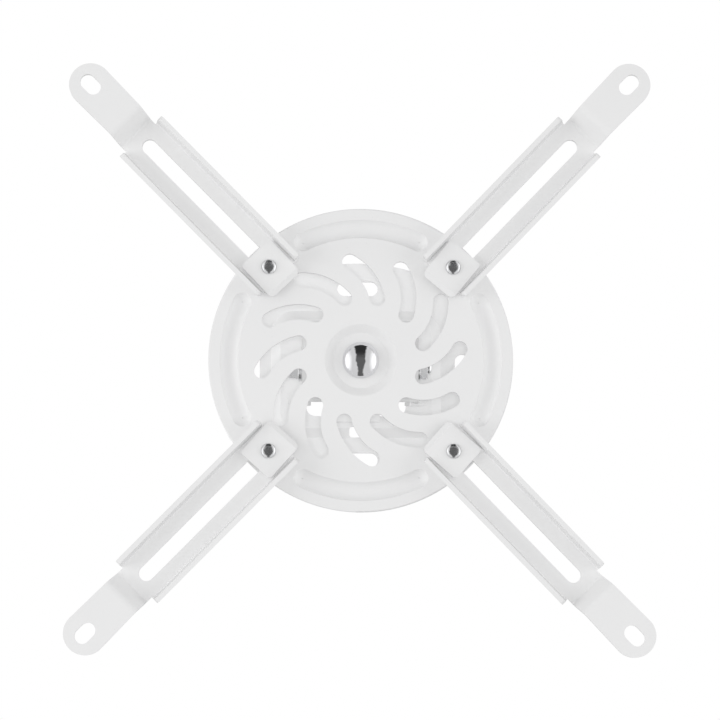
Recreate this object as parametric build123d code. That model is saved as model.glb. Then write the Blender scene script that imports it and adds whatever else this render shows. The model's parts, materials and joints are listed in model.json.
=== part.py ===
from build123d import *
from math import cos, radians, sin, sqrt
import os

os.makedirs("parts", exist_ok=True)

# Low-profile projector ceiling mount, in millimetres.
# The origin is the middle of the face that lies on the ceiling, and +Z points up.
# The mount hangs below Z = 0, and the tabs of its four arms are its lowest pieces.

# Sheet steel and fits
sheet = 2.0                 # pressed plates, brackets and arms
running_gap = 0.1           # radial play of a shank in a hole that turns or slides on it
seat_gap = 0.05             # radial play of a shank in a hole that stays still on it
washer_rim = 0.15           # chamfer around a washer
hex_turned = 0.97           # share of a hexagon's flats left by the turned corners
past = 1.0                  # how far a cutting shape runs past the metal

# Ceiling plate
plate_width = 112.0         # along X
plate_depth = 96.0          # along Y, over the bowed edges
plate_side = 54.0           # straight length of the left and right edges
plate_corner = 8.0
ceiling_slot_width = 6.2
ceiling_slot_length = 17.4
slot_spacing_y = 74.0       # between the two slots that lie along X
slot_spacing_x = 90.0       # between the two slots that lie along Y
tray_width = 65.0           # flat floor of the pressed tray
tray_depth = 46.6
tray_drop = 3.5
tray_run = 4.0              # how far its walls spread
tray_corner = 6.0
tray_edge = 1.2
tray_shift = -0.7           # the pressing sits a little to the left of the screw slots
cable_width = 42.6          # cable opening in the tray floor
cable_depth = 36.6
cable_corner = 4.0
tie_width = 7.0             # small slots for a cable tie
tie_height = 4.4
tie_corner = 1.2
tie_offset = 25.0

# Hanger brackets under the tray
pivot_drop = 33.0           # from the ceiling down to the tilt axis
hanger_face = 20.0          # inner face of each ear, from the middle
hanger_foot = 10.0
hanger_width = 28.0
hanger_nose = 8.5           # radius of the ear's round end
hanger_root = 4.0           # height over which the ear keeps its full width
hanger_bend = 1.0
foot_corner = 3.0

# Tilt pivot fasteners
thread_m6 = 6.0
hex_m6 = 10.0               # across the flats
head_m6 = 4.0
thin_nut_m6 = 3.0
washer_m6 = 12.0
washer_m6_hole = 6.4
washer_m6_thick = 1.6
tip_past_nut = 1.6
thread_tip = 0.7            # chamfer at the end of a thread

# Tilt yoke
yoke_depth = 33.4           # along Y
yoke_nose = 9.5
yoke_root = 5.0
yoke_bend = 2.0

# Swivel stack, from the dome up
hub_recess = 2.5            # depth of the round recess in the middle of the spider
hub_floor = 11.5            # radius of its flat floor
hub_run = 3.3
hub_edge = 0.8
liner_radius = 11.0
liner_thick = 1.0
thread_m8 = 8.0
hex_m8 = 13.0
dome_radius = 7.5
dome_height = 4.6
dome_rim = 0.8
washer_m8 = 16.0
washer_m8_thick = 1.6
spring_m8 = 14.0
spring_m8_thick = 2.0
spring_split = 0.8
spring_lean = 30.0
nut_m8 = 6.5
nut_collar = 1.8            # height of the round collar on the lock nut
collar_share = 0.92         # its diameter against the nut's flats
collar_edge = 0.5
washer_m8_play = 0.2
swivel_tip = 1.5

# Spider plate
spider_drop = 60.0          # from the ceiling down to its upper face
spider_radius = 62.5
spider_edge = 0.5
bolt_square = 75.5          # side of the square of arm bolts
bead_radius = 54.1          # middle line of the four stiffening beads
bead_half_width = 3.8
bead_depth = 2.0
bead_half_angle = 26.0
slot_count = 12
slot_width = 6.4
slot_inner = 26.3           # radius of the inner end's centre
slot_outer = 40.8           # radius of the outer end's centre
slot_start = -105.0         # direction of the first inner end
slot_lead = -21.4           # turn from an inner end to its outer end
slot_bow = 23.0             # radius of the curved middle line

# Arms: a channel that ends in a stepped tab
bolt_angles = (-135.0, -45.0, 135.0, 45.0)
arm_turns = (0.4, -1.1, -0.25, 1.0)     # each arm has swung a little on its bolt
arm_inner = 5.9             # web beyond the centre of the slot's inner end
arm_channel = 75.3          # from that centre to the channel's outer end
arm_slot_length = 70.0      # between the slot's end centres
arm_slot_width = 6.2
channel_half = 12.1         # half width over the free edges of the walls
channel_height = 7.0
channel_lean = 1.3          # how far each wall leans outward
channel_bend = 0.4
wall_start = 0.3            # from the web's inner end to the walls
wall_round = 1.6
tab_drop = 8.0              # from the web down to the tab
step_lead = 3.7             # from the channel's outer end to the fold
step_run = 5.6
step_bend = 1.6
neck_half = 8.2
tab_half = 8.8
tab_reach = 104.3           # from the slot's inner end centre to the tab's hole
tab_slot_length = 9.4
tab_slot_width = 6.2

# Clamp plates and their bolts
clamp_turns = (1.0, -4.0, -3.0, -4.5)   # each sits a little askew in its channel
clamp_outer = 8.2           # from the bolt to the outer edge
clamp_inner = 10.2          # from the bolt to the inner edge
clamp_width = 16.2
clamp_corner = 1.4
clamp_nose = 2.5            # radius of the inner corners
lip_run = 2.0               # sloping lip along the inner edge
lip_rise = 1.7
tip_past_clamp = 0.7
tip_crown = 0.8             # rounding of the bolt's tip
socket_flats = 3.6          # hex recess in the tip of the bolt
socket_depth = 3.6

# Levels that follow from the sizes above
tray_face = -(sheet + tray_drop)
foot_face = tray_face - sheet
pivot_z = -pivot_drop
spider_top = -spider_drop
spider_face = spider_top - sheet
hub_top = spider_top + hub_recess
hub_face = spider_face + hub_recess
yoke_face = hub_top + liner_thick
yoke_floor = yoke_face + sheet
yoke_inside = hanger_face + sheet
yoke_outside = yoke_inside + sheet
web_face = spider_face - sheet
clamp_face = web_face - sheet
bolt_offset = bolt_square / 2


def corners(face, *spots):
    """Corners of a flat outline that lie on the given spots."""
    return face.vertices().filter_by(lambda v: min((Vector(v) - Vector(*s)).length for s in spots) < 0.01)


def drum(radius, bottom, top):
    """Upright cylinder between two levels."""
    return Pos(0, 0, (bottom + top) / 2) * Cylinder(radius, top - bottom)


def washer(radius, hole, bottom, top):
    """Flat washer with a softened outer rim."""
    disc = drum(radius, bottom, top)
    disc = chamfer(disc.edges().filter_by(GeomType.CIRCLE), washer_rim)
    return disc - drum(hole, bottom - past, top + past)


def hexagon(flats, bottom, top, at_top=True, at_bottom=False):
    """Hexagonal prism with its corners turned off at 30 degrees."""
    corner = flats / sqrt(3)
    height = top - bottom
    prism = Pos(0, 0, bottom) * extrude(RegularPolygon(corner, 6), height)
    reach = 2 * height
    face_radius = flats / 2 * hex_turned
    cone = Cone(face_radius + reach * sqrt(3), face_radius, reach)
    if at_top:
        prism &= Pos(0, 0, top - reach / 2) * cone
    if at_bottom:
        prism &= Pos(0, 0, bottom + reach / 2) * Rot(180, 0, 0) * cone
    return prism


def threaded_shank(diameter, bottom, top):
    """Plain shank with a chamfered tip at its top."""
    shank = drum(diameter / 2, bottom, top)
    rim = shank.edges().filter_by(GeomType.CIRCLE).sort_by(Axis.Z)[-1]
    return chamfer(rim, thread_tip)


def dome_cap(radius, height):
    """Round cap standing on Z = 0."""
    ball = (radius**2 + height**2) / (2 * height)
    return Pos(0, 0, height - ball) * Sphere(ball) & drum(radius + past, 0, height + past)


def frustum(width, depth, corner, run, bottom, top):
    """Rounded block that spreads by run on every side from its bottom to its top."""
    low = Plane.XY.offset(bottom) * RectangleRounded(width, depth, corner)
    high = Plane.XY.offset(top) * RectangleRounded(width + 2 * run, depth + 2 * run, corner + run)
    return loft([low.face(), high.face()])


def ear_outline(width, root, rise, nose):
    """Side view of an ear: full width at its root and a round nose on the tilt axis."""
    block = Pos(0, root + rise / 2) * Rectangle(width, abs(rise))
    tip = Pos(0, pivot_z) * Circle(nose)
    return Plane.YZ * make_hull(block.edges() + tip.edges())


def on_tilt_axis(side, shape):
    """Lay an upright fastener on the tilt axis with its top pointing outward."""
    return Pos(0, 0, pivot_z) * Rot(0, 90 * side, 0) * shape


def make_ceiling_plate():
    """Bowed plate with a pressed tray, four screw slots and the cable opening."""
    half_w, half_d, half_s = plate_width / 2, plate_depth / 2, plate_side / 2
    outline = Curve() + [
        Line((-half_w, -half_s), (-half_w, half_s)),
        ThreePointArc((-half_w, half_s), (0, half_d), (half_w, half_s)),
        Line((half_w, half_s), (half_w, -half_s)),
        ThreePointArc((half_w, -half_s), (0, -half_d), (-half_w, -half_s)),
    ]
    face = make_face(outline)
    face = fillet(face.vertices(), plate_corner)
    body = extrude(Plane.XY.offset(-sheet) * face, sheet)
    tray = frustum(tray_width, tray_depth, tray_corner, tray_run, tray_face, -sheet)
    tray = Pos(tray_shift, 0, 0) * tray
    body = body + tray - Pos(0, 0, sheet) * tray
    rim = body.edges().filter_by(lambda e: abs(e.center().Z - tray_face) < 0.01)
    body = fillet(rim, tray_edge)
    cuts = Sketch() + Pos(tray_shift, 0) * RectangleRounded(cable_width, cable_depth, cable_corner)
    for end in (-1, 1):
        cuts += Pos(0, end * tie_offset) * RectangleRounded(tie_width, tie_height, tie_corner)
        cuts += Pos(0, end * slot_spacing_y / 2) * SlotOverall(ceiling_slot_length, ceiling_slot_width)
        cuts += Pos(end * slot_spacing_x / 2, 0) * SlotOverall(ceiling_slot_length, ceiling_slot_width, 90)
    body -= extrude(Plane.XY.offset(tray_face - past) * cuts, past - tray_face + past)
    return body


def make_hanger(side):
    """Angle bracket: a foot welded under the tray and an ear down to the tilt axis."""
    ear_end = pivot_z - hanger_nose
    far = hanger_face + hanger_foot
    section = make_face(Polyline(
        (hanger_face, ear_end), (yoke_inside, ear_end), (yoke_inside, foot_face),
        (far, foot_face), (far, tray_face), (hanger_face, tray_face), close=True,
    ))
    section = fillet(corners(section, (yoke_inside, foot_face)), hanger_bend)
    section = fillet(corners(section, (hanger_face, tray_face)), hanger_bend + sheet)
    body = extrude(Plane.XZ * section, hanger_width / 2, both=True)
    body &= extrude(ear_outline(hanger_width, tray_face, -hanger_root, hanger_nose), far)
    body = fillet(body.edges().filter_by(Axis.Z).group_by(Axis.X)[-1], foot_corner)
    body = Rot(0, 0, 0 if side > 0 else 180) * body
    body -= on_tilt_axis(side, drum(thread_m6 / 2 + seat_gap, 0, far))
    return body


def make_pivot_bolt():
    """Hexagon bolt through all four ears, with its head on the left."""
    seat = yoke_outside + washer_m6_thick
    tip = seat + thin_nut_m6 + tip_past_nut
    head = Rot(180, 0, 0) * hexagon(hex_m6, seat, seat + head_m6)
    return on_tilt_axis(1, head + threaded_shank(thread_m6, -seat, tip))


def make_pivot_washer(side):
    ring = washer(washer_m6 / 2, washer_m6_hole / 2, yoke_outside, yoke_outside + washer_m6_thick)
    return on_tilt_axis(side, ring)


def make_pivot_nut():
    """Thin nut on the right end of the pivot bolt."""
    seat = yoke_outside + washer_m6_thick
    nut = hexagon(hex_m6, seat, seat + thin_nut_m6, at_bottom=True)
    nut -= drum(thread_m6 / 2 + seat_gap, seat - past, seat + thin_nut_m6 + past)
    return on_tilt_axis(1, nut)


def make_tilt_yoke():
    """Folded strip: a base over the spider and two ears up to the tilt axis."""
    ear_end = pivot_z + yoke_nose
    section = make_face(Polyline(
        (-yoke_outside, ear_end), (-yoke_outside, yoke_face), (yoke_outside, yoke_face),
        (yoke_outside, ear_end), (yoke_inside, ear_end), (yoke_inside, yoke_floor),
        (-yoke_inside, yoke_floor), (-yoke_inside, ear_end), close=True,
    ))
    low = [(side * yoke_outside, yoke_face) for side in (-1, 1)]
    high = [(side * yoke_inside, yoke_floor) for side in (-1, 1)]
    section = fillet(corners(section, *low), yoke_bend + sheet)
    section = fillet(corners(section, *high), yoke_bend)
    body = extrude(Plane.XZ * section, yoke_depth / 2, both=True)
    rise = sheet + yoke_bend + yoke_root
    body &= extrude(ear_outline(yoke_depth, yoke_face, rise, yoke_nose), yoke_outside, both=True)
    body -= drum(thread_m8 / 2 + seat_gap, yoke_face - past, yoke_floor + past)
    tilt_hole = drum(thread_m6 / 2 + running_gap, -yoke_outside - past, yoke_outside + past)
    body -= on_tilt_axis(1, tilt_hole)
    return body


def make_swivel_bolt():
    """Domed bolt that carries the spider, with its shank up through the yoke."""
    tip = yoke_floor + washer_m8_thick + spring_m8_thick + nut_m8 + swivel_tip
    cap = Pos(0, 0, hub_face - dome_rim) * Rot(180, 0, 0) * dome_cap(dome_radius, dome_height - dome_rim)
    return cap + drum(dome_radius, hub_face - dome_rim, hub_face) + threaded_shank(thread_m8, hub_face, tip)


def make_swivel_liner():
    return washer(liner_radius, thread_m8 / 2 + running_gap, hub_top, yoke_face)


def make_swivel_washer():
    return washer(washer_m8 / 2, thread_m8 / 2 + washer_m8_play, yoke_floor, yoke_floor + washer_m8_thick)


def make_spring_washer():
    """Split ring under the lock nut."""
    seat = yoke_floor + washer_m8_thick
    ring = washer(spring_m8 / 2, thread_m8 / 2 + washer_m8_play, seat, seat + spring_m8_thick)
    split = Pos(spring_m8 / 2, 0, seat + spring_m8_thick / 2) * Rot(spring_lean, 0, 0)
    return ring - split * Box(spring_m8, spring_split, 3 * spring_m8_thick)


def make_swivel_nut():
    """Lock nut with a round collar on its upper side."""
    seat = yoke_floor + washer_m8_thick + spring_m8_thick
    collar = drum(hex_m8 / 2 * collar_share, seat, seat + nut_m8)
    collar = chamfer(collar.edges().filter_by(GeomType.CIRCLE).sort_by(Axis.Z)[-1], collar_edge)
    nut = hexagon(hex_m8, seat, seat + nut_m8 - nut_collar, at_bottom=True) + collar
    return nut - drum(thread_m8 / 2 + seat_gap, seat - past, seat + nut_m8 + past)


def bead_rib(radius, level):
    """Curved round bar with ball ends, on the middle line of a bead."""
    section = Plane.XZ * Pos(bead_radius, 0) * Circle(radius)
    bar = Rot(0, 0, -bead_half_angle) * revolve(section, Axis.Z, 2 * bead_half_angle)
    for end in (-bead_half_angle, bead_half_angle):
        bar += Rot(0, 0, end) * Pos(bead_radius, 0, 0) * Sphere(radius)
    return Pos(0, 0, level) * bar


def spider_section():
    """Half cross-section of the spider plate: the hub stands above the flat disc."""
    foot = hub_floor + hub_run
    below = [(hub_floor, hub_face), (foot, spider_face)]
    above = [(foot, spider_top), (hub_floor, hub_top)]
    rim = [(spider_radius, spider_face), (spider_radius, spider_top)]
    face = make_face(Polyline((0, hub_face), *below, *rim, *above, (0, hub_top), close=True))
    face = fillet(corners(face, *below, *above), hub_edge)
    return fillet(corners(face, *rim), spider_edge)


def pinwheel_slot(first):
    """Curved slot between its two end centres, bowed away from the middle."""
    last = first + slot_lead
    start = Vector(cos(radians(first)), sin(radians(first))) * slot_inner
    end = Vector(cos(radians(last)), sin(radians(last))) * slot_outer
    half_chord = (end - start).length / 2
    rise = slot_bow - sqrt(slot_bow**2 - half_chord**2)
    across = (end - start).normalized().rotate(Axis.Z, 90)
    middle = (start + end) / 2 + across * rise
    return SlotArc(ThreePointArc(start, middle, end), slot_width)


def make_spider_plate():
    """Round plate with a hub recess, four rim beads and a pinwheel of slots."""
    body = revolve(Plane.XZ * spider_section(), Axis.Z)
    groove = (bead_half_width**2 + bead_depth**2) / (2 * bead_depth)
    level = spider_face - (groove - bead_depth)
    span = 3 * spider_radius
    above = Pos(0, 0, spider_top + bead_depth) * Box(span, span, 2 * bead_depth + sheet)
    swell = bead_rib(groove + sheet, level) & above
    hollow = bead_rib(groove, level)
    for quarter in range(4):
        body += Rot(0, 0, 90 * quarter) * swell
    for quarter in range(4):
        body -= Rot(0, 0, 90 * quarter) * hollow
    cuts = Sketch() + Circle(thread_m8 / 2 + running_gap)
    for number in range(slot_count):
        cuts += pinwheel_slot(slot_start + 360 / slot_count * number)
    for angle in bolt_angles:
        cuts += arm_place(angle, 0) * Circle(thread_m6 / 2 + running_gap)
    body -= extrude(Plane.XY.offset(spider_face - past) * cuts, past + sheet + bead_depth + hub_recess)
    return body


def arm_place(angle, turn):
    """An arm's own frame: its bolt is the origin and +X points outward along the arm."""
    return Rot(0, 0, angle) * Pos(bolt_offset * sqrt(2), 0, 0) * Rot(0, 0, turn)


def channel_section():
    """Cross-section of an arm's channel, open downward, with rounded folds."""
    edge = spider_face - channel_height
    outer_top = channel_half - channel_lean
    inner_edge = channel_half - sheet
    lean_at_web = channel_lean * (channel_height - sheet) / channel_height
    inner_web = inner_edge - lean_at_web
    face = make_face(Polyline(
        (-outer_top, spider_face), (outer_top, spider_face), (channel_half, edge),
        (inner_edge, edge), (inner_web, web_face), (-inner_web, web_face),
        (-inner_edge, edge), (-channel_half, edge), close=True,
    ))
    folds_out = [(side * outer_top, spider_face) for side in (-1, 1)]
    folds_in = [(side * inner_web, web_face) for side in (-1, 1)]
    face = fillet(corners(face, *folds_out), channel_bend + sheet)
    return fillet(corners(face, *folds_in), channel_bend)


def wall_side_view():
    """Side view of the channel: the walls start past the web's end and have round corners."""
    edge = spider_face - channel_height
    wall_end = -arm_inner + wall_start
    face = make_face(Polyline(
        (-arm_inner, spider_face), (arm_channel, spider_face), (arm_channel, edge),
        (wall_end, edge), (wall_end, web_face), (-arm_inner, web_face), close=True,
    ))
    return fillet(corners(face, (arm_channel, edge), (wall_end, edge)), wall_round)


def tab_side_view():
    """Side view of the strip that steps down from the web to the tab."""
    start = arm_channel - 2 * sheet
    slope = sqrt(step_run**2 + tab_drop**2)
    shift = Vector(-sheet * tab_drop / (slope + step_run), -sheet)
    high = Vector(arm_channel + step_lead, spider_face)
    low = high + Vector(step_run, -tab_drop)
    far = tab_reach + tab_half + past
    face = make_face(Polyline(
        (start, spider_face), high, low, (far, low.Y), (far, low.Y - sheet),
        low + shift, high + shift, (start, web_face), close=True,
    ))
    face = fillet(corners(face, high + shift, low), step_bend)
    return fillet(corners(face, high, low + shift), step_bend + sheet)


def make_arm(angle, turn):
    """Channel with a long slot, a step down and a round-ended tab."""
    body = extrude(Plane.YZ.offset(-arm_inner) * channel_section(), arm_inner + arm_channel)
    body &= extrude(Plane.XZ * wall_side_view(), channel_half + past, both=True)
    strip = extrude(Plane.XZ * tab_side_view(), channel_half, both=True)
    neck = Pos(arm_channel, 0) * Rectangle(4 * sheet, 2 * neck_half)
    tab_end = Pos(tab_reach, 0) * Circle(tab_half)
    plan = make_hull(neck.edges() + tab_end.edges())
    lowest = web_face - tab_drop - past
    height = spider_face + past - lowest
    strip &= extrude(Plane.XY.offset(lowest) * plan, height)
    body += strip
    cuts = Pos(arm_slot_length / 2, 0) * SlotCenterToCenter(arm_slot_length, arm_slot_width)
    cuts += Pos(tab_reach, 0) * SlotOverall(tab_slot_length, tab_slot_width)
    body -= extrude(Plane.XY.offset(lowest) * cuts, height)
    return arm_place(angle, turn) * body


def make_clamp_plate(angle, turn):
    """Plate inside the channel, under the web, with a sloping lip along its inner edge."""
    face = make_face(Polyline(
        (clamp_outer, web_face), (clamp_outer, clamp_face), (lip_run - clamp_inner, clamp_face),
        (-clamp_inner, clamp_face + lip_rise), (-clamp_inner, web_face), close=True,
    ))
    body = extrude(Plane.XZ * face, clamp_width / 2, both=True)
    sides = body.edges().filter_by(Axis.Z).group_by(Axis.X)
    body = fillet(sides[-1], clamp_corner)
    body = fillet(body.edges().filter_by(Axis.Z).group_by(Axis.X)[0], clamp_nose)
    body -= drum(thread_m6 / 2 + seat_gap, clamp_face - past, web_face + past)
    return arm_place(angle, turn) * body


def make_clamp_bolt(angle, turn):
    """Bolt with its head on the spider and a hex recess in its lower tip."""
    tip = clamp_face - tip_past_clamp
    shank = drum(thread_m6 / 2, tip, spider_top)
    shank = fillet(shank.edges().filter_by(GeomType.CIRCLE).sort_by(Axis.Z)[0], tip_crown)
    bolt = hexagon(hex_m6, spider_top, spider_top + head_m6) + shank
    socket = RegularPolygon(socket_flats / sqrt(3), 6)
    bolt -= extrude(Plane.XY.offset(tip - past) * socket, socket_depth + past)
    return arm_place(angle, turn) * bolt


def save(name, *solids):
    """Write one node: a single solid, or a group of like solids."""
    shape = solids[0].solid() if len(solids) == 1 else Compound(children=[s.solid() for s in solids])
    export_step(shape, f"parts/{name}.step")


save("ceiling_plate", make_ceiling_plate())
save("hanger_left", make_hanger(-1))
save("hanger_right", make_hanger(1))
save("pivot_bolt", make_pivot_bolt())
save("pivot_washer_left", make_pivot_washer(-1))
save("pivot_washer_right", make_pivot_washer(1))
save("pivot_nut", make_pivot_nut())

save("tilt_yoke", make_tilt_yoke())
save("swivel_bolt", make_swivel_bolt())
save("swivel_liner", make_swivel_liner())
save("swivel_washer", make_swivel_washer())
save("swivel_spring_washer", make_spring_washer())
save("swivel_lock_nut", make_swivel_nut())
save("spider_plate", make_spider_plate())

for number, (angle, turn, askew) in enumerate(zip(bolt_angles, arm_turns, clamp_turns), start=1):
    save(f"arm_{number}", make_arm(angle, turn))
    save(f"clamp_plate_{number}", make_clamp_plate(angle, turn + askew))
    save(f"clamp_bolt_{number}", make_clamp_bolt(angle, turn + askew))
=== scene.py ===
# %% [markdown]
# A projector ceiling mount, dressed for its picture
#
# The steel parts come ready from CAD: a ceiling plate, two hangers, a tilting yoke,
# a round spider plate and four clamped arms. This lesson gives them a camera, light,
# powder coat, chrome and zinc, and adds the small turned and pressed details that
# the CAD model leaves out. All lengths are in metres.

# %% Load the CAD model
import json
from math import pi, radians, sin, sqrt

import bpy
from mathutils import Matrix, Vector


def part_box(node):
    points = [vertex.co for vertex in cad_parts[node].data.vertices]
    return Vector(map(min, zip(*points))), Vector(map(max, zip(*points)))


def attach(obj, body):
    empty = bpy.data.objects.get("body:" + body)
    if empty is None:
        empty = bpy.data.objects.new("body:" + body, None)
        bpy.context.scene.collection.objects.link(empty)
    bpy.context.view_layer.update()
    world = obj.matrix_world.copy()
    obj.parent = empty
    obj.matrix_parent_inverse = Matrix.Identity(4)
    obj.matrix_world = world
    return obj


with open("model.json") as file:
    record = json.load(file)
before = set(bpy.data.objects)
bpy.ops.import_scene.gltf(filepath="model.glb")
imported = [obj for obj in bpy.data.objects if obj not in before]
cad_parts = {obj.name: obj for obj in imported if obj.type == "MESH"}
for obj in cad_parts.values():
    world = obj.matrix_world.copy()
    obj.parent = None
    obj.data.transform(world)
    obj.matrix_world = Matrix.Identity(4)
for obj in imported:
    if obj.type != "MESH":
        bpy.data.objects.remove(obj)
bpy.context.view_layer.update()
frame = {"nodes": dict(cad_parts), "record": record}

mm = 0.001

# %% [markdown]
# The camera
#
# The mount hangs on a ceiling at Z = 0 and was photographed from below, with its front
# at the bottom of the picture. A camera can be aimed with a constraint or turned by
# hand. Here its three axes are worked out and set as one rotation, so that the two
# small angles by which it leans from straight below can be fitted one by one. The long
# lens keeps the perspective small, but the ceiling plate, which lies deeper, is still
# seen to shift against the spider plate.

# %% Place the camera
spider_middle = Vector((0.0, 0.0, -0.061))
aim_shift = Vector((-0.35, 0.0, 0.0)) * mm
camera_distance = 1.23
lean_front = radians(6.0)
lean_left = radians(-1.4)
picture_top = Vector((0.0, -1.0, 0.0))

aim = spider_middle + aim_shift
backward = Vector((sin(lean_left), sin(lean_front), 0.0))
backward.z = -sqrt(1.0 - backward.x**2 - backward.y**2)
right = picture_top.cross(backward).normalized()
up = backward.cross(right)

camera_data = bpy.data.cameras.new("picture_camera")
camera_data.lens = 150.0
camera_data.sensor_width = 36.0
camera_data.clip_start = 0.05
camera = bpy.data.objects.new("picture_camera", camera_data)
bpy.context.scene.collection.objects.link(camera)
camera.location = aim + camera_distance * backward
camera.rotation_mode = "QUATERNION"
camera.rotation_quaternion = Matrix([right, up, backward]).transposed().to_quaternion()
bpy.context.scene.camera = camera
print("camera at", [round(c, 3) for c in camera.location])

# %% [markdown]
# Shader sums
#
# A finish is a small graph of nodes. It could be wired by hand in the shader editor, or
# line by line in a script, but it reads better as a formula. So one class wraps an
# output of a node and lets it be added, subtracted and multiplied.

# %% A wrapper for node outputs
class Wire:
    """One output of a node, ready for sums."""

    def __init__(self, graph, socket):
        self.graph = graph
        self.socket = socket

    def __add__(self, other):
        return self.graph.sum("ADD", self, other)

    def __radd__(self, other):
        return self.graph.sum("ADD", other, self)

    def __sub__(self, other):
        return self.graph.sum("SUBTRACT", self, other)

    def __rsub__(self, other):
        return self.graph.sum("SUBTRACT", other, self)

    def __mul__(self, other):
        return self.graph.sum("MULTIPLY", self, other)


print("a wire can be added, subtracted and multiplied")

# %% [markdown]
# The graph behind the sums
#
# The second class holds a node tree and makes any node from its type, its settings and
# its inputs. An input is a number, which is set on its socket, or a wire, which is
# linked to it. The few nodes that nearly every finish uses get short names, so that a
# finish below is only as long as what is special about it.

# %% The graph that makes the nodes
class Graph:
    """The node tree of a material or of the world."""

    def __init__(self, owner):
        owner.use_nodes = True
        self.tree = owner.node_tree
        self.tree.nodes.clear()

    def pick(self, sockets, name):
        """The socket with this number, identifier or name."""
        if isinstance(name, int):
            return sockets[name]
        return [s for s in sockets if name in (s.identifier, s.name)][0]

    def node(self, kind, settings, inputs, output=0):
        """Make a node and hand out one of its outputs, if it has any."""
        made = self.tree.nodes.new(kind)
        for name, value in settings.items():
            setattr(made, name, value)
        for name, value in inputs.items():
            socket = self.pick(made.inputs, name)
            if isinstance(value, Wire):
                self.tree.links.new(value.socket, socket)
            else:
                socket.default_value = value
        if len(made.outputs) == 0:
            return None
        return Wire(self, self.pick(made.outputs, output))

    def sum(self, operation, first, second):
        return self.node("ShaderNodeMath", {"operation": operation}, {0: first, 1: second})

    def mix(self, first, second, share):
        """Two colours, with this share of the second."""
        inputs = {"Factor_Float": share, "A_Color": first, "B_Color": second}
        return self.node("ShaderNodeMix", {"data_type": "RGBA"}, inputs, "Result_Color")

    def cloud(self, place, size, detail=2.0):
        """Cloudy values between 0 and 1, in lumps about size metres wide."""
        inputs = {"Vector": place, "Scale": 1.0 / size, "Detail": detail}
        return self.node("ShaderNodeTexNoise", {}, inputs)

    def window(self, value, low, high):
        """0 below low, 1 above high and smooth in between."""
        settings = {"interpolation_type": "SMOOTHSTEP"}
        inputs = {"Value": value, "From Min": low, "From Max": high}
        return self.node("ShaderNodeMapRange", settings, inputs)

    def bump(self, height, depth, normal=None):
        """A surface direction that follows the height, over depth metres."""
        inputs = {"Height": height, "Distance": depth, "Strength": 1.0}
        if normal is not None:
            inputs["Normal"] = normal
        return self.node("ShaderNodeBump", {}, inputs)

    def close(self, **inputs):
        """End the material in a principled shader with these sockets."""
        named = {key.replace("_", " "): value for key, value in inputs.items()}
        shader = self.node("ShaderNodeBsdfPrincipled", {}, named)
        self.node("ShaderNodeOutputMaterial", {}, {"Surface": shader})


print("a graph can make nodes, clouds, windows and bumps")

# %% [markdown]
# White powder coat
#
# The pressed steel is sprayed with dry powder that melts into a satin skin. It is not
# quite smooth: close up it has a fine orange peel, and here and there a pinhole where
# the powder let a bubble out. A painted texture could show this too, but it would need
# a picture and unfolded meshes. Noise in Object coordinates needs neither. It gives the
# colour broad, faint clouds and a few small grey specks, and a finer cloud pattern
# raises the skin and makes the gloss a little uneven.

# %% Powder coat finish
coat_light = (0.81, 0.81, 0.81, 1.0)
coat_deep = (0.785, 0.785, 0.788, 1.0)
coat_speck = (0.62, 0.62, 0.625, 1.0)
broad_size = 30.0 * mm
peel_size = 2.2 * mm
peel_height = 0.012 * mm
pinhole_size = 0.9 * mm
coat_rough = 0.44


def new_material(name):
    """A material, its empty graph and the place on the piece that it shades."""
    material = bpy.data.materials.new(name)
    graph = Graph(material)
    return material, graph, graph.node("ShaderNodeTexCoord", {}, {}, "Object")


coat, graph, place = new_material("white_powder_coat")
broad = graph.cloud(place, broad_size, 3.0)
peel = graph.cloud(place, peel_size)
pinholes = graph.window(graph.cloud(place, pinhole_size, 1.0), 0.74, 0.80)
colour = graph.mix(coat_deep, coat_light, broad)
colour = graph.mix(colour, coat_speck, pinholes * 0.35)
rough = coat_rough + broad * 0.08 + peel * 0.06
skin = graph.bump(peel, peel_height)
graph.close(Base_Color=colour, Roughness=rough, Normal=skin, Specular_IOR_Level=0.4)
print("made", coat.name)

# %% [markdown]
# Polished chrome
#
# The domed bolt in the middle is polished and chromed. It has hardly any colour of its
# own and mirrors the room, so most of its look comes from the world further down. It
# could be one smooth mirror, but that looks drawn. A cloud pattern puts a thin haze on
# parts of it, and a low wave bends the mirrored room a little, as polishing does.

# %% Chrome finish
chrome_light = (0.86, 0.86, 0.87, 1.0)
chrome_deep = (0.78, 0.78, 0.80, 1.0)
haze_size = 4.0 * mm
wave_size = 2.2 * mm
wave_height = 0.04 * mm
chrome_rough = 0.05

chrome, graph, place = new_material("polished_chrome")
haze = graph.cloud(place, haze_size, 4.0)
colour = graph.mix(chrome_light, chrome_deep, haze)
rough = chrome_rough + graph.window(haze, 0.45, 0.75) * 0.07
wave = graph.bump(graph.cloud(place, wave_size), wave_height)
graph.close(Base_Color=colour, Metallic=1.0, Roughness=rough, Normal=wave)
print("made", chrome.name)

# %% [markdown]
# Zinc plate
#
# Bolts, nuts and washers are plated with zinc, which is duller and cloudier than chrome
# and has a fine grain. Their edges are a little rounded and rubbed bright. The edges
# could be rounded in the meshes, but those come from CAD and stay as they are. So a
# Bevel node turns the surface direction near each edge, and where it turns, the colour
# gets lighter.

# %% Zinc finish
zinc_deep = (0.80, 0.81, 0.83, 1.0)
zinc_light = (0.90, 0.90, 0.90, 1.0)
zinc_rubbed = (0.94, 0.94, 0.94, 1.0)
zinc_rough = 0.13
bevel_samples = 12
edge_round = 0.2 * mm
edge_rub = 0.3 * mm
plating_size = 3.0 * mm
grain_size = 0.4 * mm
grain_height = 0.01 * mm


def rounded_normal(graph, radius):
    """Surface direction with every sharp edge broken by a small radius."""
    return graph.node("ShaderNodeBevel", {"samples": bevel_samples}, {"Radius": radius})


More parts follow.
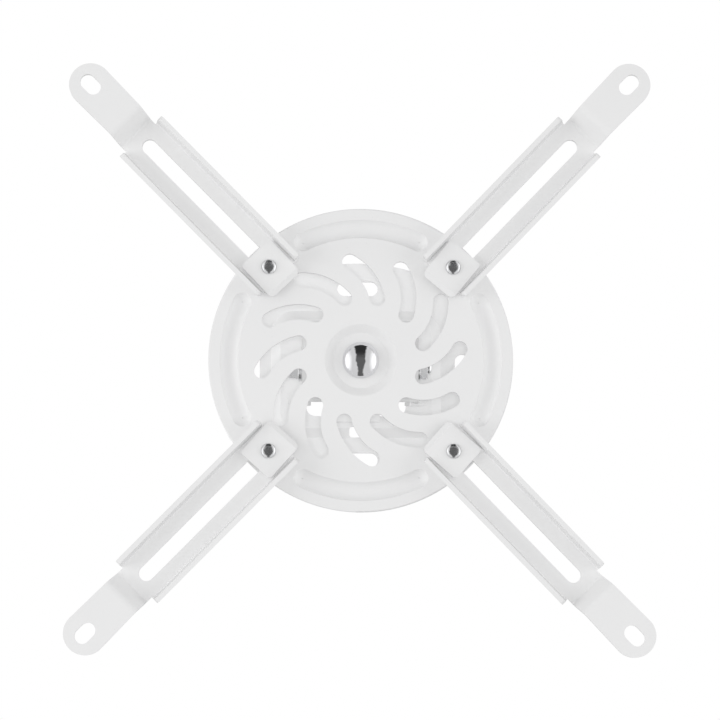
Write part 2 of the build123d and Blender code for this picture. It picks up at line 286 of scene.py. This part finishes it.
def edge_mask(graph, radius):
    """1 along the edges and 0 on the flats."""
    plain = graph.node("ShaderNodeNewGeometry", {}, {}, "Normal")
    settings = {"operation": "DOT_PRODUCT"}
    inputs = {0: rounded_normal(graph, radius), 1: plain}
    match = graph.node("ShaderNodeVectorMath", settings, inputs, "Value")
    return 1.0 - graph.window(match, 0.90, 0.999)


zinc, graph, place = new_material("zinc_steel")
plating = graph.cloud(place, plating_size, 4.0)
grain = graph.cloud(place, grain_size)
colour = graph.mix(zinc_deep, zinc_light, plating)
colour = graph.mix(colour, zinc_rubbed, edge_mask(graph, edge_rub) * 0.6)
rough = zinc_rough + plating * 0.11 + grain * 0.05
skin = graph.bump(grain, grain_height, rounded_normal(graph, edge_round))
graph.close(Base_Color=colour, Metallic=1.0, Roughness=rough, Normal=skin)
print("made", zinc.name)

# %% [markdown]
# Raw nylon
#
# The liner between the yoke and the spider is a disc of nylon without dye, a warm and
# slightly cloudy white. Light enters real nylon a little way, which a subsurface value
# could show, but on a disc this thin and hidden a plain surface looks the same and
# renders faster. Two cloud patterns keep its colour and its skin uneven.

# %% Nylon finish
nylon_light = (0.78, 0.77, 0.73, 1.0)
nylon_deep = (0.70, 0.69, 0.65, 1.0)
nylon_rough = 0.42
nylon_index = 1.53
milky_size = 5.0 * mm
moulded_size = 0.6 * mm
moulded_height = 0.03 * mm

nylon, graph, place = new_material("nylon")
milky = graph.cloud(place, milky_size, 3.0)
colour = graph.mix(nylon_light, nylon_deep, milky)
rough = nylon_rough + milky * 0.15
skin = graph.bump(graph.cloud(place, moulded_size), moulded_height)
graph.close(Base_Color=colour, Roughness=rough, Normal=skin, IOR=nylon_index)
print("made", nylon.name)

# %% [markdown]
# Each CAD node gets its finish
#
# The record says which material slot a node has. New meshes could be made to carry the
# finishes, but the CAD meshes already have the true shapes. So they stay as they are,
# and only what fills their material slots changes.

# %% Put the finishes on the CAD nodes
finishes = {
    "white_powder_coat": coat,
    "zinc_steel": zinc,
    "polished_chrome": chrome,
    "nylon": nylon,
}
slot_of = {part["node"]: part["material_slot"] for part in frame["record"]["subparts"]}
for name, piece in frame["nodes"].items():
    for holder in piece.material_slots:
        holder.material = finishes[slot_of[name]]
print("finished nodes:", len(slot_of))

# %% [markdown]
# Screw threads
#
# The CAD bolts have smooth shanks. A real one has a thread rolled into it: one groove
# that winds round and climbs by the pitch, 1 mm on an M6 bolt and 1.25 mm on an M8 one.
# A stack of rings would not climb, and a bevelled curve makes a round ridge. The Screw
# modifier sweeps a small triangle round and up, which leaves the sharp ridge between
# the grooves, so it is used.

# %% A helper that winds a thread
ridge_share = 0.42      # size of the ridge, as a share of the pitch
ridge_height = 0.5      # its height, as a share of an even triangle's
thread_steps = 40       # straight pieces in one turn


def bake_place():
    """Move, turn and scale the mesh itself, so that the piece stays at the origin."""
    bpy.ops.object.transform_apply(location=True, rotation=True, scale=True)


def thread(name, radius, pitch, turns, foot, along_x):
    """A ridge that winds round a shank from its foot, along X or upward."""
    bpy.ops.object.select_all(action="DESELECT")
    bpy.ops.mesh.primitive_circle_add(
        vertices=3, radius=ridge_share * pitch,
        location=(radius, 0.0, 0.0), rotation=(pi / 2, pi / 2, 0.0))
    ridge = bpy.context.object
    ridge.name = name
    ridge.scale = (1.0, ridge_height, 1.0)
    bake_place()
    sweep = ridge.modifiers.new("sweep", "SCREW")
    sweep.screw_offset = pitch
    sweep.iterations = turns
    sweep.steps = thread_steps
    sweep.render_steps = thread_steps
    bpy.ops.object.modifier_apply(modifier="sweep")
    bpy.ops.object.mode_set(mode="EDIT")
    bpy.ops.mesh.select_all(action="SELECT")
    bpy.ops.mesh.fill_holes(sides=3)
    bpy.ops.mesh.normals_make_consistent(inside=False)
    bpy.ops.object.mode_set(mode="OBJECT")
    if along_x:
        ridge.rotation_euler = (0.0, pi / 2, 0.0)
    ridge.location = foot
    bake_place()
    ridge.data.materials.append(zinc)
    return ridge


print("a thread has", thread_steps, "steps in each turn")

# %% [markdown]
# Three threads to cut
#
# The long pivot bolt shows its thread in the open middle of the yoke and at the tip that
# stands out of its nut. The swivel bolt shows one turn at its tip. The turns inside the
# nuts could be modelled too, but nobody sees them.

# %% Model the threads
tilt_height = -33.0 * mm

pivot_thread = thread(
    "pivot_bolt_thread", radius=3.0 * mm, pitch=1.0 * mm, turns=15,
    foot=(4.3 * mm, 0.0, tilt_height), along_x=True)
pivot_tip = thread(
    "pivot_bolt_tip_thread", radius=2.9 * mm, pitch=1.0 * mm, turns=1,
    foot=(28.4 * mm, 0.0, tilt_height), along_x=True)
swivel_tip = thread(
    "swivel_bolt_tip_thread", radius=3.85 * mm, pitch=1.25 * mm, turns=1,
    foot=(0.0, 0.0, -44.8 * mm), along_x=False)
for ridge in (pivot_thread, pivot_tip):
    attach(ridge, "ceiling_bracket")
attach(swivel_tip, "yoke")
print("thread faces:", len(pivot_thread.data.polygons))

# %% [markdown]
# The lock nut's ring
#
# The nut on the swivel bolt is a lock nut: a nylon ring is pressed into the collar on
# its upper side, and grips the thread so that the spider stays where it is turned. The
# ring could be a short tube with a bevel, but a torus has the round top from the start.
# It is sunk into the collar, so that only this top shows.

# %% Model the nylon ring
ring_radius = 4.75 * mm
ring_half_thick = 0.6 * mm
ring_height = -44.45 * mm

bpy.ops.object.select_all(action="DESELECT")
bpy.ops.mesh.primitive_torus_add(
    major_radius=ring_radius, minor_radius=ring_half_thick,
    major_segments=64, minor_segments=16, location=(0.0, 0.0, ring_height))
lock_ring = bpy.context.object
lock_ring.name = "lock_nut_ring"
bake_place()
bpy.ops.object.shade_smooth()
lock_ring.data.materials.append(nylon)
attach(lock_ring, "yoke")
print("ring faces:", len(lock_ring.data.polygons))

# %% [markdown]
# The rims of the clamp bolts' tips
#
# The tip of a clamp bolt has a recess for a hexagon key, and the lathe turns its end to
# a low cone round that recess, which catches the light on its left and right. The CAD
# solid has a flat end. The cone could be swept from a profile, but a torus with only
# three sides to its ring already has this shape: one flank is the cone, one stands
# round the recess and one is sunk in the tip. It is modelled once, at the origin, and
# each bolt gets a copy with a mesh of its own.

# %% Model the rim once
recess_radius = 1.9 * mm
tip_radius = 2.95 * mm
rim_half_width = (tip_radius - recess_radius) / 1.5     # three sides reach 1 out, 0.5 in
rim_edge = 0.12 * mm
smooth_below = radians(35.0)


def break_edges(piece, width):
    """Round the sharp edges of a mesh and shade its gentle ones smooth."""
    broken = piece.modifiers.new("broken_edges", "BEVEL")
    broken.width = width
    broken.segments = 2
    bpy.ops.object.modifier_apply(modifier="broken_edges")
    bpy.ops.object.shade_smooth_by_angle(angle=smooth_below)


bpy.ops.object.select_all(action="DESELECT")
bpy.ops.mesh.primitive_torus_add(
    major_radius=tip_radius - rim_half_width, minor_radius=rim_half_width,
    major_segments=48, minor_segments=3)
first_rim = bpy.context.object
break_edges(first_rim, rim_edge)
first_rim.data.materials.append(zinc)
print("rim faces:", len(first_rim.data.polygons))

# %% [markdown]
# A rim for each bolt
#
# The four bolts could have their places typed in, but the arms are each turned a little,
# so the places are asked of the CAD nodes: the middle of a bolt's box, at its lower end.

# %% Copy the rim to the four bolts
for number in "1234":
    lowest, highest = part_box("clamp_bolt_" + number)
    bpy.ops.object.select_all(action="DESELECT")
    rim = first_rim.copy()
    rim.data = first_rim.data.copy()
    rim.name = "bolt_tip_rim_" + number
    bpy.context.scene.collection.objects.link(rim)
    middle_x = (lowest[0] + highest[0]) / 2
    middle_y = (lowest[1] + highest[1]) / 2
    rim.location = (middle_x, middle_y, lowest[2])
    rim.select_set(True)
    bpy.context.view_layer.objects.active = rim
    bake_place()
    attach(rim, "clamp_" + number)
    print(rim.name, "at", round(middle_x, 4), round(middle_y, 4))
bpy.data.objects.remove(first_rim)

# %% [markdown]
# The tongue at the cable opening
#
# A cable comes down through the opening in the ceiling plate and is tied to a short
# tongue, a strip of sheet that is lapped under the front edge of the opening. A
# flattened cube would have sharp corners. Here a flat plane gets its two free corners
# rounded first and its thickness after that, so the rounding goes all the way through,
# and a small bevel then breaks the edges as the powder coat does.

# %% Model the cable tongue
tongue_half = 10.2 * mm
tongue_front = 20.9 * mm
tongue_back = 14.6 * mm
tongue_middle = (tongue_front + tongue_back) / 2
tongue_thick = 1.2 * mm
tongue_corner = 2.0 * mm
tongue_edge = 0.25 * mm
tray_middle = -0.7 * mm
tray_underside = -5.5 * mm

bpy.ops.object.select_all(action="DESELECT")
bpy.ops.mesh.primitive_plane_add(
    size=1.0, location=(tray_middle, tongue_middle, tray_underside))
tongue = bpy.context.object
tongue.name = "cable_tongue"
tongue.scale = (2 * tongue_half, tongue_front - tongue_back, 1.0)
bake_place()
bpy.ops.object.mode_set(mode="EDIT")
bpy.ops.mesh.select_mode(type="VERT")
bpy.ops.mesh.select_all(action="DESELECT")
bpy.ops.object.mode_set(mode="OBJECT")
for corner in tongue.data.vertices:
    corner.select = corner.co.y < tongue_middle
bpy.ops.object.mode_set(mode="EDIT")
bpy.ops.mesh.bevel(offset=tongue_corner, segments=8, affect="VERTICES")
bpy.ops.mesh.select_all(action="SELECT")
bpy.ops.mesh.extrude_region_move(
    TRANSFORM_OT_translate={"value": (0.0, 0.0, -tongue_thick)})
bpy.ops.mesh.select_all(action="SELECT")
bpy.ops.mesh.normals_make_consistent(inside=False)
bpy.ops.object.mode_set(mode="OBJECT")
break_edges(tongue, tongue_edge)
tongue.data.materials.append(coat)
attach(tongue, "ceiling_bracket")
print("tongue faces:", len(tongue.data.polygons))

# %% [markdown]
# The room that the metal mirrors
#
# The picture was taken in a white room. It could be built from walls and panels, but a
# world shader needs only a formula: the direction of a ray says how bright the room is
# there. Polished metal shows a dark gap in the middle of the room, where the camera
# stands. The gap is ragged, and narrower and less dark to the front. Beside it the
# walls are white, and they get brighter far out to the sides. A direction has the
# length 1, so the limits below lie between 0 in the middle and 1 at the far side.

# %% The mirrored room
gap_darkest = 0.04      # strengths of the room, as metal mirrors it
gap_gain = 0.12
wall_white = 0.92
side_gain = 0.75
overhead_white = 0.72
gap_shrink = 0.20       # how far the gap's edge moves in to the front
gap_ragged = 0.20       # how far it wanders
gap_lumps = 0.20        # size of the lumps that it wanders by

bpy.context.scene.view_settings.view_transform = "Standard"
world = bpy.data.worlds.new("white_room")
bpy.context.scene.world = world
room = Graph(world)
direction = room.node("ShaderNodeTexCoord", {}, {}, "Generated")
side, front, above = [
    room.node("ShaderNodeSeparateXYZ", {}, {"Vector": direction}, axis) for axis in "XYZ"]
sideways = room.sum("ABSOLUTE", side, 0.0)
ragged = room.cloud(direction, gap_lumps, 3.0) - 0.5
narrower = room.window(front, 0.05, 0.85)
gap_edge = sideways + narrower * gap_shrink + ragged * gap_ragged
gap_to_wall = room.window(gap_edge, 0.34, 0.45)
gap_tone = gap_darkest + room.window(front, -0.80, -0.10) * gap_gain
far_side = room.window(sideways, 0.64, 0.95)
walls = gap_tone + gap_to_wall * (wall_white - gap_tone) + far_side * side_gain
overhead = room.window(above, 0.30, 0.65)
mirrored = walls * (1.0 - overhead) + overhead * overhead_white
print("nodes in the room:", len(room.tree.nodes))

# %% [markdown]
# The light of the room
#
# Other surfaces than metal get soft, almost even light, a little stronger from the
# sides, and behind the mount the picture is plain white. One world can do all this,
# because the Light Path node tells what kind of ray is asking. Rays that leave a
# surface find such even light without being aimed. So the world's own light sampling,
# which would only add noise here, is off.

# %% Join the room's light
soft_even = 0.74
soft_sides = 0.19
plain_white = (1.0, 1.0, 1.0, 1.0)

path = {name: room.node("ShaderNodeLightPath", {}, {}, name) for name in
        ("Is Camera Ray", "Is Glossy Ray", "Is Transmission Ray")}
soft_tone = soft_even + sideways * sideways * soft_sides
soft = room.node("ShaderNodeBackground", {}, {"Strength": soft_tone})
mirror = room.node("ShaderNodeBackground", {}, {"Strength": mirrored})
white = room.node("ShaderNodeBackground", {}, {"Color": plain_white, "Strength": 1.0})
lit = room.node("ShaderNodeMixShader", {}, {0: path["Is Glossy Ray"], 1: soft, 2: mirror})
seen = room.sum("MAXIMUM", path["Is Camera Ray"], path["Is Transmission Ray"])
both = room.node("ShaderNodeMixShader", {}, {0: seen, 1: lit, 2: white})
room.node("ShaderNodeOutputWorld", {}, {"Surface": both})
world.cycles.sampling_method = "NONE"
print("world:", world.name)

# %% [markdown]
# The floor
#
# Views from above look down on a floor far below the mount. It could be a curved studio
# backdrop, but a plane is enough for a part that hangs in the air. It belongs to the
# studio and not to the mount. Metal doesn't mirror it, because the
# mirrored room has a lower side of its own.

# %% Lay the floor
floor_width = 8.0
floor_height = -2.4
floor_light = (0.86, 0.86, 0.86, 1.0)
floor_deep = (0.82, 0.82, 0.82, 1.0)
floor_rough = 0.7
floor_clouds = 0.4

bpy.ops.object.select_all(action="DESELECT")
bpy.ops.mesh.primitive_plane_add(size=floor_width, location=(0.0, 0.0, floor_height))
floor = bpy.context.object
floor.name = "studio_floor"
floor.visible_glossy = False
floor_material, graph, place = new_material("studio_floor")
colour = graph.mix(floor_light, floor_deep, graph.cloud(place, floor_clouds, 3.0))
graph.close(Base_Color=colour, Roughness=floor_rough)
floor.data.materials.append(floor_material)
print("floor at", floor_height)

# %% [markdown]
# The lamps
#
# A low lamp on each side reaches in under the ceiling plate, one above lights the upper
# side, and a small one at the lens fills the deep places. Point lamps would draw hard
# shadows, and discs soften them. Metal doesn't mirror the discs, because the mirrored
# room has its bright places already. The powers were fitted: the mount was rendered
# with one lamp at a time, to measure what each adds to the picture.

# %% Hang the lamps
def add_lamp(name, place, width, power):
    """A round soft lamp that faces the spider plate."""
    data = bpy.data.lights.new(name, "AREA")
    data.shape = "DISK"
    data.size = width
    data.energy = power
    lamp = bpy.data.objects.new(name, data)
    bpy.context.scene.collection.objects.link(lamp)
    lamp.location = place
    facing = spider_middle - Vector(place)
    lamp.rotation_mode = "QUATERNION"
    lamp.rotation_quaternion = facing.to_track_quat("-Z", "Y")
    lamp.visible_camera = False
    lamp.visible_glossy = False


add_lamp("left_lamp", place=(-1.3, 0.0, -0.62), width=0.9, power=5.6)
add_lamp("right_lamp", place=(1.3, 0.0, -0.62), width=0.9, power=3.8)
add_lamp("upper_lamp", place=(-0.5, -0.6, 1.3), width=0.9, power=12.0)
add_lamp("lens_lamp", place=camera.location, width=0.10, power=3.9)
print("lamps:", len(bpy.data.lights))
